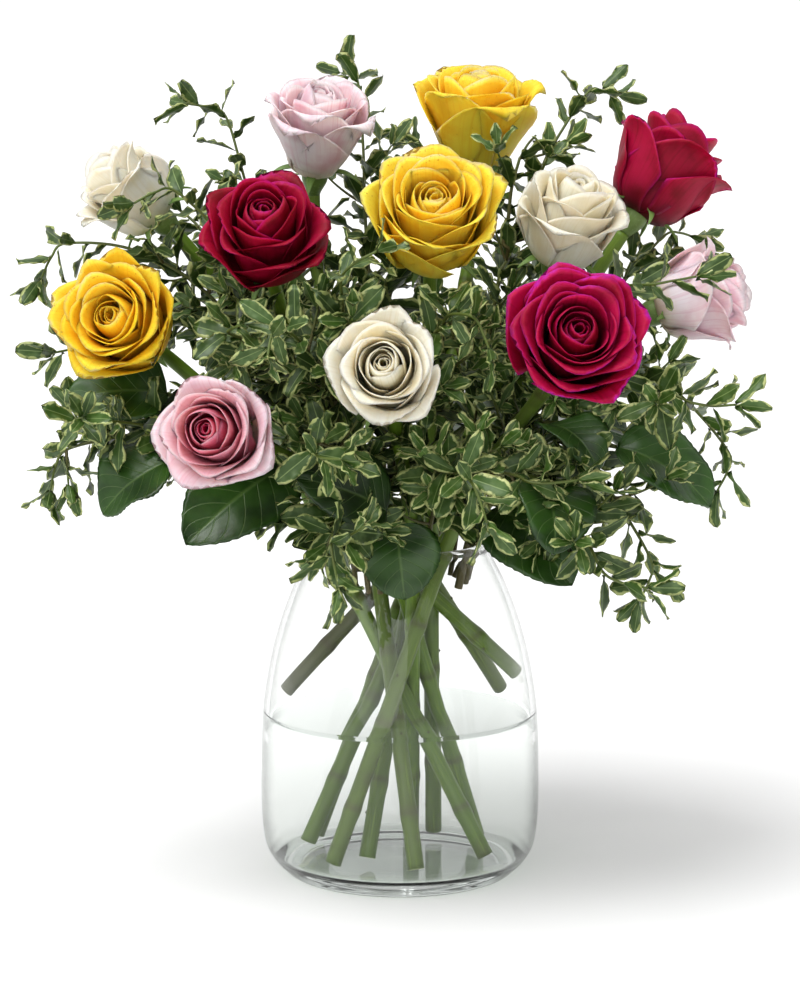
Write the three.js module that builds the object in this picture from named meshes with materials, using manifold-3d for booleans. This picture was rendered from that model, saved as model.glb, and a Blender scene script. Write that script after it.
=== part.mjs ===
// A dozen cut roses with pittosporum and salal greenery, standing in a glass jar of water.
//
// Millimetres, +Z up, +Y towards the back. The origin is the middle of the vase's flat
// underside. Places in the bouquet are given in bloom diameters from the centre of the
// vase's mouth, because the blooms stand shoulder to shoulder whatever their size.

import * as THREE from "three";
import { mergeVertices } from "three/addons/utils/BufferGeometryUtils.js";
import Module from "manifold-3d";

const wasm = await Module();
wasm.setup();

// Driving dimensions.
const VASE_HEIGHT = 170;
const BELLY_RADIUS = 71;
const BELLY_HEIGHT = 55; // where the jar is widest
const BASE_RADIUS = 57; // of the flat it stands on
const MOUTH_RADIUS = 43; // outside the lip
const WALL = 3;
const FLOOR = 8; // thickness of the jar's bottom
const WATER_DEPTH = 73;

const BLOOM_DIAMETER = 64; // of a bloom of size 1
const BLOOM_HEIGHT = 50;
const STEM_RADIUS = 4;
const HIP_RADIUS = 6.5; // the swelling under the petals
const HIP_HEIGHT = 11;
const SEPAL_LENGTH = 21;

const TWIG_RADIUS = 1.5;
const SALAL_STEM_RADIUS = 2;
const PITTOSPORUM_LEAF = 24;
const SALAL_LEAF_WIDTH = 34;
const CLEARANCE = 0.35; // kept between any two pieces
const LEAF_THICKNESS = 1;

// How finely round things are faceted.
const VASE_SEGMENTS = 32;
const BLOOM_SEGMENTS = 20;
const STEM_SIDES = 6;
const TWIG_SIDES = 4;
const STEM_STEPS = 10;
const TWIG_STEPS = 7;

const MATERIALS = {
  glass: { color: 0xf2f7f7, roughness: 0.03, metalness: 0, transparent: true, opacity: 0.3 },
  water: { color: 0xe6f1ee, roughness: 0.02, metalness: 0, transparent: true, opacity: 0.25 },
  white: { color: 0xf1eee0, roughness: 0.6, metalness: 0 },
  pink: { color: 0xeec3cb, roughness: 0.6, metalness: 0 },
  yellow: { color: 0xf6cf16, roughness: 0.6, metalness: 0 },
  red: { color: 0xb0063a, roughness: 0.55, metalness: 0 },
  stem: { color: 0x6f8a35, roughness: 0.5, metalness: 0 },
  calyx: { color: 0x6b8a45, roughness: 0.55, metalness: 0 },
  pittosporum: { color: 0x7d9a63, roughness: 0.45, metalness: 0 },
  salal: { color: 0x2f5c26, roughness: 0.4, metalness: 0 },
};

// Each rose: where its bloom's middle is, the way it faces (azimuth from +X and elevation,
// in degrees), its size, and where its stem's cut end rests (azimuth, share of the jar's
// inner radius there, and share of the jar's height: 0 on the floor, more against the wall).
const ROSES = [
  { name: "white_rose_1", at: [-2.14, 0.31, 2.75], faces: [196, 42], size: 0.88, foot: [335, 0.8, 0] },
  { name: "pink_rose_1", at: [-0.66, 0.94, 3.2], faces: [282, 66], size: 0.98, foot: [280, 0.78, 0] },
  { name: "yellow_rose_1", at: [0.62, 1.0, 3.26], faces: [275, 74], size: 1.12, foot: [236, 0.5, 0] },
  { name: "red_rose_1", at: [2.09, 0.47, 2.9], faces: [20, 55], size: 1.08, foot: [172, 0.8, 0] },
  { name: "red_rose_2", at: [-1.0, -0.94, 2.48], faces: [268, 38], size: 1.03, foot: [28, 0.75, 0] },
  { name: "yellow_rose_2", at: [0.25, -0.86, 2.62], faces: [272, 42], size: 1.1, foot: [62, 0.62, 0] },
  { name: "white_rose_2", at: [1.3, -0.2, 2.55], faces: [298, 60], size: 0.96, foot: [152, 0.82, 0] },
  { name: "pink_rose_2", at: [2.36, 0.0, 1.93], faces: [352, 18], size: 0.94, foot: [165, 1, 0.47] },
  { name: "yellow_rose_3", at: [-2.12, -0.78, 1.81], faces: [252, 20], size: 1.02, foot: [2, 1, 0.54] },
  { name: "white_rose_3", at: [-0.11, -1.97, 1.57], faces: [268, 17], size: 0.9, foot: [82, 0.68, 0] },
  { name: "red_rose_3", at: [1.28, -1.66, 1.78], faces: [274, 22], size: 1.1, foot: [225, 0.8, 0] },
  { name: "pink_rose_3", at: [-1.33, -1.74, 1.09], faces: [256, 12], size: 0.94, foot: [30, 1, 0.46] },
];

// Each pittosporum branch: the tips of its twigs. The first is the branch's own end and
// the others fork off it.
const PITTOSPORUM = [
  { name: "pittosporum_branch_top", tips: [[-0.35, 1.75, 3.62], [0.3, 2.0, 2.9]] },
  { name: "pittosporum_branch_upper_left", tips: [[-1.37, 0.62, 3.36], [-1.9, 1.3, 2.6]] },
  { name: "pittosporum_branch_left", tips: [[-1.74, -0.39, 2.83], [-1.3, -1.1, 1.75]] },
  { name: "pittosporum_branch_far_left", tips: [[-2.69, 0.31, 2.36], [-2.5, 0.75, 1.5]] },
  { name: "pittosporum_branch_lower_left", tips: [[-2.59, -0.62, 0.83], [-2.4, -1.15, 1.1]] },
  { name: "pittosporum_branch_upper_right", tips: [[1.53, 0.94, 3.56], [0.95, 0.45, 3.0]] },
  { name: "pittosporum_branch_right", tips: [[2.16, 0.9, 2.4], [1.9, -0.75, 2.1]] },
  { name: "pittosporum_branch_lower_right", tips: [[2.62, -0.16, 0.71], [2.2, -0.94, 1.2]] },
  { name: "pittosporum_branch_drooping", tips: [[1.94, -0.94, -0.02], [1.5, -1.5, 0.0]] },
  { name: "pittosporum_branch_middle_left", tips: [[-0.9, -1.75, 1.9], [-0.45, -1.45, 2.2]] },
  { name: "pittosporum_branch_middle_right", tips: [[0.55, -1.75, 1.95], [0.55, -1.1, 1.6]] },
  { name: "pittosporum_branch_front_right", tips: [[0.52, -2.0, 0.79], [0.95, -1.6, 0.7]] },
  { name: "pittosporum_branch_front_left", tips: [[-0.51, -1.8, 0.3], [-0.65, -1.88, 0.95]] },
  { name: "pittosporum_branch_back_left", tips: [[-1.3, 2.0, 2.1], [-0.5, 2.3, 1.5]] },
  { name: "pittosporum_branch_back_right", tips: [[1.3, 2.0, 2.1], [0.7, 2.2, 1.4]] },
];

// Each salal branch: its stem's end, and its leaves, each from a share of the way along
// the stem to its tip, with its upper side facing an azimuth and elevation.
const SALAL = [
  {
    name: "salal_branch_left",
    end: [-1.7, -0.9, 0.75],
    leaves: [
      { from: 0.95, tip: [-2.28, -1.0, 0.38], faces: [250, 50], wide: 1 },
      { from: 0.55, tip: [-1.6, -1.36, 0.2], faces: [262, 20], wide: 1.15 },
    ],
  },
  {
    name: "salal_branch_upper_left",
    end: [-1.75, -0.35, 1.15],
    leaves: [
      { from: 1, tip: [-2.6, -0.55, 1.2], faces: [262, 38], wide: 1 },
      { from: 0.7, tip: [-1.9, -0.9, 0.78], faces: [255, 30], wide: 0.95 },
    ],
  },
  {
    name: "salal_branch_front",
    end: [-0.05, -1.15, 0.35],
    leaves: [
      { from: 0.9, tip: [0.06, -1.32, -0.45], faces: [270, 12], wide: 0.95 },
      { from: 1, tip: [-0.75, -1.6, 0.75], faces: [262, 30], wide: 0.9 },
    ],
  },
  {
    name: "salal_branch_right",
    end: [1.05, -1.15, 0.7],
    leaves: [
      { from: 0.5, tip: [1.3, -1.2, -0.12], faces: [276, 20], wide: 1.1 },
      { from: 1, tip: [1.15, -1.72, 0.2], faces: [300, 40], wide: 1 },
    ],
  },
  {
    name: "salal_branch_far_right",
    end: [1.65, -0.62, 0.75],
    leaves: [
      { from: 0.95, tip: [2.42, -0.72, 0.4], faces: [285, 50], wide: 1 },
      { from: 0.7, tip: [1.6, -1.25, 1.0], faces: [300, 30], wide: 0.95 },
    ],
  },
  {
    name: "salal_branch_back_left",
    end: [-1.1, 1.3, 0.8],
    leaves: [
      { from: 1, tip: [-1.9, 1.6, 0.55], faces: [130, 50], wide: 1.05 },
      { from: 0.7, tip: [-0.8, 1.75, 0.15], faces: [100, 30], wide: 1.1 },
      { from: 0.9, tip: [-0.9, 1.95, 1.15], faces: [110, 40], wide: 1 },
    ],
  },
  {
    name: "salal_branch_back_right",
    end: [1.1, 1.3, 0.8],
    leaves: [
      { from: 1, tip: [1.9, 1.5, 0.55], faces: [50, 50], wide: 1.05 },
      { from: 0.7, tip: [0.6, 1.75, 0.1], faces: [80, 30], wide: 1.1 },
      { from: 0.9, tip: [1.0, 1.95, 1.15], faces: [70, 40], wide: 1 },
    ],
  },
];

const UP = new THREE.Vector3(0, 0, 1);
const GOLDEN_ANGLE = THREE.MathUtils.degToRad(137.5);
const WATER_LEVEL = FLOOR + WATER_DEPTH;
const MOUTH = new THREE.Vector3(0, 0, VASE_HEIGHT);
const NECK_LEVEL = VASE_HEIGHT - WALL; // where the stems are held together
const TWIG_LEVEL = NECK_LEVEL - 18; // where the greenery's cut ends are

const bouquet = new THREE.Group();
const placed = []; // { box, solid } of every piece so far, in the object's own frame

// ---- Solids -------------------------------------------------------------------------

function solidOf(geometry) {
  const bare = new THREE.BufferGeometry();
  bare.setAttribute("position", geometry.getAttribute("position"));
  bare.setIndex(geometry.index);
  const { attributes, index } = mergeVertices(bare, 1e-4);
  return new wasm.Manifold(
    new wasm.Mesh({
      numProp: 3,
      vertProperties: attributes.position.array,
      triVerts: new Uint32Array(index.array),
    }),
  );
}

function geometryOf(solid) {
  const { vertProperties, triVerts } = solid.getMesh();
  const geometry = new THREE.BufferGeometry();
  geometry.setAttribute("position", new THREE.BufferAttribute(vertProperties, 3));
  geometry.setIndex(new THREE.BufferAttribute(triVerts, 1));
  geometry.computeVertexNormals();
  return geometry;
}

const joined = (geometries) => geometries.map(solidOf).reduce((whole, piece) => whole.add(piece));

function addPiece(name, geometry, look, parent = bouquet) {
  const mesh = new THREE.Mesh(geometry, new THREE.MeshStandardMaterial(MATERIALS[look]));
  mesh.name = name;
  parent.add(mesh);
  mesh.updateWorldMatrix(true, false);
  keepClear(geometry.clone().applyMatrix4(mesh.matrixWorld));
  return mesh;
}

function keepClear(geometry) {
  geometry.computeBoundingBox();
  placed.push({ box: geometry.boundingBox, solid: solidOf(geometry) });
}

function isClear(geometry) {
  geometry.computeBoundingBox();
  const near = placed.filter(({ box }) => box.intersectsBox(geometry.boundingBox));
  if (near.length === 0) return true;
  const solid = solidOf(geometry);
  return near.every((other) => other.solid.intersect(solid).isEmpty());
}

// The first of the tries whose shape, grown by the clearance, is clear of every piece
// placed so far. A try is a function from that growth to a geometry.
function firstClear(tries) {
  return tries.find((shape) => isClear(shape(CLEARANCE)));
}

// ---- Directions and paths -----------------------------------------------------------

function direction([azimuth, elevation]) {
  const polar = THREE.MathUtils.degToRad(90 - elevation);
  const turn = THREE.MathUtils.degToRad(azimuth);
  return new THREE.Vector3(
    Math.sin(polar) * Math.cos(turn),
    Math.sin(polar) * Math.sin(turn),
    Math.cos(polar),
  );
}

const fromMouth = (place) => new THREE.Vector3(...place).multiplyScalar(BLOOM_DIAMETER).add(MOUTH);

function tube(curve, radius, sides, steps) {
  const corners = Array.from({ length: sides }, (_, i) => {
    const turn = (2 * Math.PI * i) / sides;
    return new THREE.Vector2(radius * Math.cos(turn), radius * Math.sin(turn));
  });
  return new THREE.ExtrudeGeometry(new THREE.Shape(corners), {
    steps,
    extrudePath: curve,
    bevelEnabled: false,
  });
}

// A try for firstClear that keeps the curve its tube follows.
function tubeTry(curve, radius, sides, steps) {
  return Object.assign((grow) => tube(curve, radius + grow, sides, steps), { curve });
}

// ---- The jar and its water ----------------------------------------------------------

// Below the belly the side rounds in to the base, and above it it closes in to the mouth.
function outerRadius(height) {
  if (height < BELLY_HEIGHT) {
    return BELLY_RADIUS - (BELLY_RADIUS - BASE_RADIUS) * (1 - height / BELLY_HEIGHT) ** 6;
  }
  const rise = (height - BELLY_HEIGHT) / (VASE_HEIGHT - BELLY_HEIGHT);
  return BELLY_RADIUS - (BELLY_RADIUS - MOUTH_RADIUS) * rise ** 2.3;
}

const innerRadius = (height) => outerRadius(height) - WALL;

// Heights from low to high, closer together at the low end when the power is above 1.
function levels(low, high, count, power = 1) {
  return Array.from({ length: count + 1 }, (_, i) => low + (high - low) * (i / count) ** power);
}

const WET_LEVELS = levels(FLOOR, WATER_LEVEL, 4, 1.6);
const DRY_LEVELS = levels(WATER_LEVEL, VASE_HEIGHT - WALL / 2, 5).slice(1);

function turned(profile, segments) {
  return new THREE.LatheGeometry(profile, segments).rotateX(Math.PI / 2);
}

function vaseGeometry() {
  const heights = [...WET_LEVELS, ...DRY_LEVELS];
  const rim = heights.at(-1);
  const lipCentre = outerRadius(rim) - WALL / 2;
  const outside = [0, FLOOR / 3, ...heights].map((z) => new THREE.Vector2(outerRadius(z), z));
  const lip = [60, 120].map((degrees) => {
    const turn = THREE.MathUtils.degToRad(degrees);
    return new THREE.Vector2(
      lipCentre + (WALL / 2) * Math.cos(turn),
      rim + (WALL / 2) * Math.sin(turn),
    );
  });
  const inside = [...heights].reverse().map((z) => new THREE.Vector2(innerRadius(z), z));
  const profile = [
    new THREE.Vector2(0, 0),
    ...outside,
    ...lip,
    ...inside,
    new THREE.Vector2(0, FLOOR),
  ];
  return turned(profile, VASE_SEGMENTS);
}

function waterGeometry() {
  const side = WET_LEVELS.map(
    (z) => new THREE.Vector2(innerRadius(z) - CLEARANCE, Math.max(z, FLOOR + CLEARANCE)),
  );
  const profile = [
    new THREE.Vector2(0, FLOOR + CLEARANCE),
    ...side,
    new THREE.Vector2(0, WATER_LEVEL),
  ];
  return turned(profile, VASE_SEGMENTS);
}

// ---- Leaves -------------------------------------------------------------------------

// A leaf from base to tip: a lens of four corners across, widest nearer its base, whose
// blade bows towards its upper side in the middle.
function leafGeometry({ base, tip, upper, width, bow = 0.12, stations = 2 }, grow = 0) {
  const along = tip.clone().sub(base);
  const length = along.length();
  along.normalize();
  const across = new THREE.Vector3().crossVectors(along, upper).normalize();
  const lift = new THREE.Vector3().crossVectors(across, along);
  const geometry = new THREE.SphereGeometry(1, 4, stations);
  const position = geometry.getAttribute("position");
  const point = new THREE.Vector3();
  for (let i = 0; i < position.count; i++) {
    const share = (1 - position.getY(i)) / 2; // 0 at the base, 1 at the tip
    const wide = (width / 2 + grow) * (1.25 - share / 2);
    point
      .copy(base)
      .addScaledVector(along, (length + 2 * grow) * share - grow)
      .addScaledVector(across, position.getX(i) * wide)
      .addScaledVector(lift, 4 * bow * length * share * (1 - share))
      .addScaledVector(lift, -position.getZ(i) * (LEAF_THICKNESS / 2 + grow));
    position.setXYZ(i, point.x, point.y, point.z);
  }
  return geometry;
}

// ---- Roses --------------------------------------------------------------------------

// Each ring of a bloom: radius and height as shares of its own, and how far its five
// petals swing it in and out. It runs from under the bloom over three whorls to the heart.
const WHORLS = [
  { radius: 0, height: 0, swing: 0 },
  { radius: 0.17, height: 0, swing: 0 },
  { radius: 0.62, height: 0.15, swing: 0.03 },
  { radius: 0.92, height: 0.46, swing: 0.05 },
  { radius: 1, height: 0.84, swing: 0.09 },
  { radius: 0.79, height: 0.76, swing: 0.06 },
  { radius: 0.66, height: 0.96, swing: -0.08 },
  { radius: 0.47, height: 0.86, swing: -0.05 },
  { radius: 0.27, height: 1, swing: 0.06 },
  { radius: 0, height: 0.9, swing: 0 },
];

function bloomGeometry(size, grow = 0) {
  const radius = (BLOOM_DIAMETER * size) / 2 + grow;
  const height = BLOOM_HEIGHT * size + grow;
  const profile = WHORLS.map((ring) => new THREE.Vector2(ring.radius * radius, ring.height * height));
  const geometry = turned(profile, BLOOM_SEGMENTS);
  const position = geometry.getAttribute("position");
  for (let i = 0; i < position.count; i++) {
    const { swing } = WHORLS[i % WHORLS.length];
    const turn = Math.atan2(position.getY(i), position.getX(i));
    const petal = 1 + swing * Math.cos(5 * turn);
    position.setXYZ(i, position.getX(i) * petal, position.getY(i) * petal, position.getZ(i));
  }
  return geometry.translate(0, 0, HIP_HEIGHT + CLEARANCE);
}

function calyxGeometry(grow = 0) {
  const hip = turned(
    [
      new THREE.Vector2(0, CLEARANCE),
      new THREE.Vector2(STEM_RADIUS, CLEARANCE),
      new THREE.Vector2(HIP_RADIUS + grow, HIP_HEIGHT * 0.55),
      new THREE.Vector2(STEM_RADIUS, HIP_HEIGHT),
      new THREE.Vector2(0, HIP_HEIGHT),
    ],
    8,
  );
  const sepals = Array.from({ length: 5 }, (_, i) => {
    const out = direction([72 * i, 24]);
    const base = UP.clone().multiplyScalar(HIP_HEIGHT * 0.6);
    const tip = out.multiplyScalar(HIP_RADIUS + SEPAL_LENGTH).add(base);
    return leafGeometry({ base, tip, upper: UP, width: HIP_RADIUS, bow: -0.1 }, grow);
  });
  return geometryOf(joined([hip, ...sepals]));
}

// The cut end of a stem, resting on the floor or against the wall.
function footOf([azimuth, reach, rise]) {
  const height = FLOOR + STEM_RADIUS + rise * VASE_HEIGHT;
  const room = innerRadius(height) - 1.6 * STEM_RADIUS - CLEARANCE;
  return direction([azimuth, 0]).multiplyScalar(reach * room).setZ(height);
}

// Straight from the foot up to the neck, then bending over to leave along the bloom's own
// axis. Firm is how far the stem keeps rising before it bends.
function stemCurve(foot, neck, top, facing, firm) {
  const reach = top.distanceTo(neck);
  const rising = neck.clone().sub(foot).normalize();
  const path = new THREE.CurvePath();
  path.add(new THREE.LineCurve3(foot, neck));
  path.add(
    new THREE.CubicBezierCurve3(
      neck,
      neck.clone().addScaledVector(rising, firm * reach),
      top.clone().addScaledVector(facing, (firm - 0.7) * reach),
      top,
    ),
  );
  return path;
}

// Every way to lay a stem: the neck place winds out from where a straight line from foot
// to top passes, and the foot may shift round the jar, at first by up to 18 degrees.
function stemTries({ facing, top, foot }) {
  const room = innerRadius(NECK_LEVEL) - 1.4 * STEM_RADIUS - CLEARANCE;
  const tries = [];
  const search = (shifts, places) => {
    for (const shift of shifts) {
      const start = foot.clone().applyAxisAngle(UP, THREE.MathUtils.degToRad(shift));
      const straight = start.clone().lerp(top, (NECK_LEVEL - foot.z) / (top.z - foot.z));
      for (let i = 0; i < places; i++) {
        const aside = direction([0, 0]).applyAxisAngle(UP, i * GOLDEN_ANGLE);
        const neck = aside.multiplyScalar(0.75 * STEM_RADIUS * Math.sqrt(i)).add(straight);
        neck.setZ(0).clampLength(0, room).setZ(NECK_LEVEL);
        for (const firm of [0.4, 0.25, 0.55]) {
          const curve = stemCurve(start, neck, top, facing, firm);
          tries.push(tubeTry(curve, STEM_RADIUS, STEM_SIDES, STEM_STEPS));
        }
      }
    }
  };
  search([0, 6, -6, 12, -12, 18, -18], 90);
  search([27, -27, 39, -39, 54, -54, 72, -72], 120);
  return tries;
}

// A head stands where it is wanted, or a little further out from the bouquet's middle
// where the heads before it leave it no room.
function addHead({ name, at, faces, size, foot }) {
  const facing = direction(faces);
  const outward = new THREE.Vector3(...at).normalize();
  const head = new THREE.Group();
  head.quaternion.setFromUnitVectors(UP, facing);
  bouquet.add(head);
  const fits = (step) => {
    head.position
      .copy(fromMouth(at))
      .addScaledVector(outward, step * 0.02 * BLOOM_DIAMETER)
      .addScaledVector(facing, -HIP_HEIGHT - (BLOOM_HEIGHT * size) / 2);
    head.updateWorldMatrix(true, false);
    return [bloomGeometry(size, CLEARANCE), calyxGeometry(CLEARANCE)].every((part) =>
      isClear(part.applyMatrix4(head.matrixWorld)),
    );
  };
  let step = 0;
  while (!fits(step)) step++;
  addPiece(`${name}_bloom`, bloomGeometry(size), name.split("_")[0], head);
  addPiece(`${name}_calyx`, calyxGeometry(), "calyx", head);
  return { name, facing, top: head.position, foot: footOf(foot) };
}

// Lays the stems one after another. One that finds no clear place is laid before all the
// others in a fresh start.
function layStems(roses) {
  const before = placed.length;
  const laid = new Map();
  for (const rose of roses) {
    const stem = firstClear(stemTries(rose));
    if (!stem) {
      placed.length = before;
      return layStems([rose, ...roses.filter((other) => other !== rose)]);
    }
    keepClear(stem(0));
    laid.set(rose.name, stem);
  }
  placed.length = before;
  return laid;
}

// ---- Greenery -----------------------------------------------------------------------

// The place a share of the way along a twig's own straight-sided middle line.
function alongTwig(curve, share) {
  const joints = curve.getSpacedPoints(TWIG_STEPS);
  const before = Math.min(Math.floor(share * TWIG_STEPS), TWIG_STEPS - 1);
  return joints[before].lerp(joints[before + 1], share * TWIG_STEPS - before);
}

// Up out of the neck and over in one arc that rises more the higher its lift.
function twigCurve(root, tip, lift) {
  const knee = root.clone().lerp(tip, 0.3);
  knee.z += lift * Math.hypot(tip.x - root.x, tip.y - root.y);
  return new THREE.QuadraticBezierCurve3(root, knee, tip);
}

// Every way to lay a branch's own stem: it is held in the neck on the side its tip lies,
// or further round or further in, and arches more or less. If none of these is clear, it
// may go further still, or be held less deep.
function twigTries(tip, radius) {
  const room = innerRadius(NECK_LEVEL) - 2 * radius - CLEARANCE;
  const side = Math.atan2(tip.y, tip.x);
  const tries = [];
  const search = (levels, shares, turns) => {
    for (const level of levels) {
      for (const inward of shares) {
        for (let step = 0; step < turns; step++) {
          const turn = side + 0.12 * Math.ceil(step / 2) * (step % 2 ? 1 : -1);
          const out = room * (1 - inward);
          const root = new THREE.Vector3(out * Math.cos(turn), out * Math.sin(turn), level);
          for (const lift of [0.55, 0.9, 0.3, 1.3]) {
            const curve = twigCurve(root, tip, lift);
            tries.push(tubeTry(curve, radius, TWIG_SIDES, TWIG_STEPS));
          }
        }
      }
    }
  };
  search([TWIG_LEVEL], [0, 0.12, 0.25, 0.4, 0.55], 15);
  const higher = [(TWIG_LEVEL + NECK_LEVEL) / 2, NECK_LEVEL];
  search([TWIG_LEVEL, ...higher], [0, 0.12, 0.25, 0.4, 0.55, 0.7, 0.85], 25);
  return tries;
}

// A leaf's tries: first where it would grow, then turned round its twig, then shorter.
function leafTries(curve, share, turn, leaf) {
  const base = alongTwig(curve, share);
  const heading = curve.getTangentAt(share);
  const sideways = new THREE.Vector3().crossVectors(heading, UP).normalize();
  const tries = [];
  for (const scale of [1, 0.7, 0.5]) {
    for (const offset of [0, 0.7, -0.7, 1.4, -1.4, 2.1, -2.1]) {
      const out = sideways.clone().applyAxisAngle(heading, turn + offset);
      const tip = base
        .clone()
        .addScaledVector(heading, 0.62 * leaf * scale)
        .addScaledVector(out, 0.78 * leaf * scale);
      const blade = { base, tip, upper: heading, width: 0.5 * leaf * scale };
      tries.push((grow) => leafGeometry(blade, grow));
    }
  }
  return tries;
}

function addPittosporum({ name, tips }) {
  const [end, ...sides] = tips.map(fromMouth);
  const stem = firstClear(twigTries(end, TWIG_RADIUS));
  const twigs = [{ curve: stem.curve, from: 0.42, leaves: 7 }];
  const radius = 0.8 * TWIG_RADIUS; // of the twigs that fork off
  let branch = solidOf(stem(0));
  for (const side of sides) {
    const forks = [0.4, 0.3, 0.5, 0.6, 0.7].flatMap((share) =>
      [0.3, 0.1, 0.6].map((lift) => {
        const curve = twigCurve(alongTwig(stem.curve, share), side, lift);
        return tubeTry(curve, radius, TWIG_SIDES, TWIG_STEPS);
      }),
    );
    const fork = firstClear(forks);
    if (!fork) continue;
    branch = branch.add(solidOf(fork(0)));
    twigs.push({ curve: fork.curve, from: 0.3, leaves: 5 });
  }
  for (const { curve, from, leaves } of twigs) {
    for (let i = 0; i < leaves; i++) {
      const share = from + ((1 - from) * i) / (leaves - 1);
      const grown = firstClear(leafTries(curve, share * 0.98, i * GOLDEN_ANGLE, PITTOSPORUM_LEAF));
      if (grown) branch = branch.add(solidOf(grown(0)));
    }
  }
  addPiece(name, geometryOf(branch), "pittosporum");
}

function addSalal({ name, end, leaves }) {
  const tip = fromMouth(end);
  const stem = firstClear(twigTries(tip, SALAL_STEM_RADIUS));
  let branch = solidOf(stem(0));
  for (const { from, tip: leafTip, faces, wide } of leaves) {
    const blade = {
      base: alongTwig(stem.curve, from * 0.97),
      upper: direction(faces),
      width: SALAL_LEAF_WIDTH * wide,
      stations: 5,
    };
    const tries = [];
    for (const scale of [1, 0.85, 0.7]) {
      for (const droop of [0, 0.12, -0.12, 0.25, -0.25]) {
        const place = fromMouth([leafTip[0], leafTip[1], leafTip[2] - droop]);
        const reached = blade.base.clone().lerp(place, scale);
        const shape = { ...blade, tip: reached, width: blade.width * scale };
        tries.push((grow) => leafGeometry(shape, grow));
      }
    }
    const grown = firstClear(tries);
    if (grown) branch = branch.add(solidOf(grown(0)));
  }
  addPiece(name, geometryOf(branch), "salal");
}

// ---- Putting it together ------------------------------------------------------------

addPiece("vase", vaseGeometry(), "glass");
const stems = layStems(ROSES.map(addHead));
stems.forEach((stem, name) => addPiece(`${name}_stem`, stem(0), "stem"));

// The stems displace the water they stand in.
const water = [...stems.values()].reduce(
  (rest, stem) => rest.subtract(solidOf(stem(CLEARANCE))),
  solidOf(waterGeometry()),
);
addPiece("water", geometryOf(water), "water");

SALAL.forEach(addSalal);
PITTOSPORUM.forEach(addPittosporum);

export default bouquet;
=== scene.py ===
# %% [markdown]
# # A dozen roses in a glass jar
#
# This lesson builds the look of a vase arrangement: twelve open roses in four colours,
# cream-edged pittosporum, broad salal leaves, and green stems that cross in a clear jar of
# water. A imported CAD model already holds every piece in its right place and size. It could be
# used as it is, but its blooms and leaves are coarse solids. So each one is read as a guide,
# for its middle line, its axis or its tip, and a finely shaped piece is grown on it.

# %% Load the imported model
import heapq
import math

import bpy
import numpy as np
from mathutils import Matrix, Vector


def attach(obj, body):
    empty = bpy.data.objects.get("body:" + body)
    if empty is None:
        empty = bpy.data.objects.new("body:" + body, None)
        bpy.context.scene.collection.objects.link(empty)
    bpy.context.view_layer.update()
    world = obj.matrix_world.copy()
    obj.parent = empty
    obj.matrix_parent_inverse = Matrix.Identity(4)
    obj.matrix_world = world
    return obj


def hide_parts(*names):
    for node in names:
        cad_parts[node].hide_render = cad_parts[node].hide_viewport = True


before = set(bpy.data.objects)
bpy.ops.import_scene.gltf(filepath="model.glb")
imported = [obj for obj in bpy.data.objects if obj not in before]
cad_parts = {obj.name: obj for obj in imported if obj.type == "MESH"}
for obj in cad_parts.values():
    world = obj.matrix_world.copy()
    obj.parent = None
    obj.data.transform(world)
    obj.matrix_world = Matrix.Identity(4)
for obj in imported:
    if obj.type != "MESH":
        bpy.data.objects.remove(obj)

MM = 0.001
UP = np.array([0.0, 0.0, 1.0])
GOLDEN_ANGLE = math.radians(137.5)
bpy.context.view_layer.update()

# %% [markdown]
# ## The camera
#
# The arrangement is seen from the front and a little above the jar's mouth, from far enough
# away that the sides of the jar look almost parallel. A long lens does that: 108 mm at a
# metre and a half.

# %% Set up the camera
camera = bpy.data.objects.new("camera", bpy.data.cameras.new("camera"))
bpy.context.scene.collection.objects.link(camera)
bpy.context.scene.camera = camera
camera.location = (0, -1.5, 0.42)
look_at = Vector((0, 0, 0.191))
camera.rotation_euler = (look_at - camera.location).to_track_quat("-Z", "Y").to_euler()
camera.data.lens = 108
camera.data.clip_start = 0.01
print("camera looks at", tuple(look_at))

# %% [markdown]
# ## Materials: colours and nodes
#
# Colours are picked as sRGB hex values, the way a paint chart gives them, but shaders work
# in linear light. One function turns one into the other. Materials are small node trees, and
# one more function adds a node with its settings, its values and its links. Patterns on
# petals and leaves follow their shape, so every mesh here carries four numbers at each of
# its points: how far along and across its part it is, and two for the shade of the part.


# %% Colour and node helpers
def linear(hex_colour):
    """An sRGB hex colour as linear red, green, blue and alpha."""
    parts = [int(hex_colour[i : i + 2], 16) / 255 for i in (1, 3, 5)]
    return (*[p / 12.92 if p <= 0.04045 else ((p + 0.055) / 1.055) ** 2.4 for p in parts], 1)


def add(tree, kind, values=None, out=0, **settings):
    """Adds a node and gives one of its outputs. Settings are the node's own properties,
    values go to its sockets, and a value that is itself a socket is linked."""
    made = tree.nodes.new(f"ShaderNode{kind}")
    for name, value in settings.items():
        setattr(made, name, value)
    for name, value in (values or {}).items():
        if isinstance(value, bpy.types.NodeSocket):
            tree.links.new(value, made.inputs[name])
        else:
            made.inputs[name].default_value = value
    return made.outputs[out]


def new_material(name):
    """An empty material, its tree, and the socket that its surface goes to."""
    made = bpy.data.materials.new(name)
    made.use_nodes = True
    made.node_tree.nodes.clear()
    return made, made.node_tree, made.node_tree.nodes.new("ShaderNodeOutputMaterial").inputs[0]


MARKS = ("along", "across", "tone", "heart")

# A mix takes its share in socket 0 and its two colours in 6 and 7. A range takes a value in
# socket 0, where it comes from in 1 and 2 (0 and 1 if not said) and goes to in 3 and 4.
MIX = {"data_type": "RGBA", "out": 2}
TINT = {"blend_type": "MULTIPLY", **MIX}
EASED = {"interpolation_type": "SMOOTHSTEP"}
print("linear mid grey:", round(linear("#808080")[0], 3))

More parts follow.
